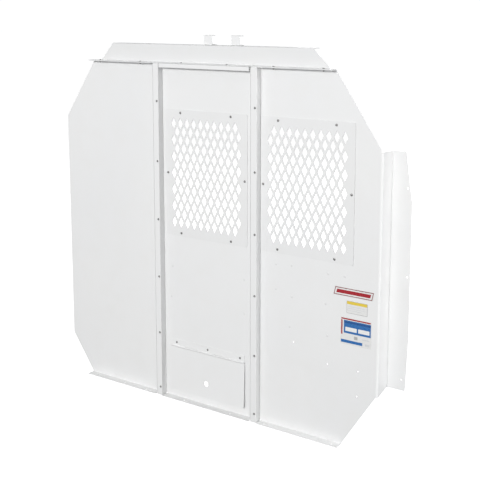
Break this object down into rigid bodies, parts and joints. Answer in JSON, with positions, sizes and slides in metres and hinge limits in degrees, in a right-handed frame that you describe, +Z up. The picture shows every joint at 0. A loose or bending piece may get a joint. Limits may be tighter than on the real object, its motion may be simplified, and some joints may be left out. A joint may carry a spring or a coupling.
{
  "type": "van bulkhead partition",
  "caption": "White steel cargo-van bulkhead: folded panels joined by capped posts, diamond window screens, a stepped side wing, a header with roof brackets and a top-hinged access flap.",
  "frame": {"origin": "middle of the overall width and depth, on the underside of the bottom flanges, where the bulkhead stands on the van floor", "axes": "+Z up; -Y towards the load space, the side with the posts, screens and flap; +X to the right as seen from the load space, towards the stepped wing"},
  "size_m": [1.5238, 0.094, 1.4213],
  "materials": {
    "white_powder_coat": "satin powder coat",
    "zinc_plated_steel": "dull zinc plate",
    "black_rubber": "matte",
    "badge_film": "printed vinyl film, plain colour blocks",
    "caution_film": "printed vinyl film, plain colour blocks",
    "data_film": "printed vinyl film, plain colour blocks"
  },
  "bodies": {
    "frame": {"left_panel": "white_powder_coat", "centre_panel": "white_powder_coat", "right_panel": "white_powder_coat", "left_post": "white_powder_coat", "right_post": "white_powder_coat", "header_panel": "white_powder_coat", "centre_screen": "white_powder_coat", "right_screen": "white_powder_coat", "hinge_fixed_leaf": "white_powder_coat", "roof_bracket_left": "white_powder_coat", "roof_bracket_right": "white_powder_coat", "badge_label": "badge_film", "caution_label": "caution_film", "data_label": "data_film", "centre_screen_rivet_1": "zinc_plated_steel", "centre_screen_rivet_2": "zinc_plated_steel", "centre_screen_rivet_3": "zinc_plated_steel", "centre_screen_rivet_4": "zinc_plated_steel", "centre_screen_rivet_5": "zinc_plated_steel", "centre_screen_rivet_6": "zinc_plated_steel", "right_screen_rivet_1": "zinc_plated_steel", "right_screen_rivet_2": "zinc_plated_steel", "right_screen_rivet_3": "zinc_plated_steel", "right_screen_rivet_4": "zinc_plated_steel", "right_screen_rivet_5": "zinc_plated_steel", "right_screen_rivet_6": "zinc_plated_steel", "left_post_screw_1": "zinc_plated_steel", "left_post_screw_2": "zinc_plated_steel", "left_post_screw_3": "zinc_plated_steel", "left_post_screw_4": "zinc_plated_steel", "left_post_screw_5": "zinc_plated_steel", "left_post_screw_6": "zinc_plated_steel", "right_post_screw_1": "zinc_plated_steel", "right_post_screw_2": "zinc_plated_steel", "right_post_screw_3": "zinc_plated_steel", "right_post_screw_4": "zinc_plated_steel", "right_post_screw_5": "zinc_plated_steel", "right_post_screw_6": "zinc_plated_steel", "left_flange_rivet_1": "zinc_plated_steel", "left_flange_rivet_2": "zinc_plated_steel", "right_flange_rivet_1": "zinc_plated_steel", "right_flange_rivet_2": "zinc_plated_steel", "header_rivet_1": "zinc_plated_steel", "header_rivet_2": "zinc_plated_steel", "header_rivet_3": "zinc_plated_steel", "header_rivet_4": "zinc_plated_steel", "header_rivet_5": "zinc_plated_steel", "header_rivet_6": "zinc_plated_steel", "hinge_rivet_1": "zinc_plated_steel", "hinge_rivet_2": "zinc_plated_steel", "hinge_rivet_3": "zinc_plated_steel", "roof_bracket_bolt_left": "zinc_plated_steel", "roof_bracket_bolt_right": "zinc_plated_steel", "roof_bracket_nut_left": "zinc_plated_steel", "roof_bracket_nut_right": "zinc_plated_steel", "hinge_pin": "zinc_plated_steel"},
    "flap": {"access_flap": "white_powder_coat", "hinge_moving_leaf": "white_powder_coat", "flap_bumper_left": "black_rubber", "flap_bumper_right": "black_rubber"}
  },
  "joints": [
    {"name": "flap_hinge", "type": "hinge", "parent": "frame", "child": "flap", "pos_m": [-0.0469, -0.0183, 0.21], "axis": [-1, 0, 0], "range_deg": [0, 150]}
  ]
}
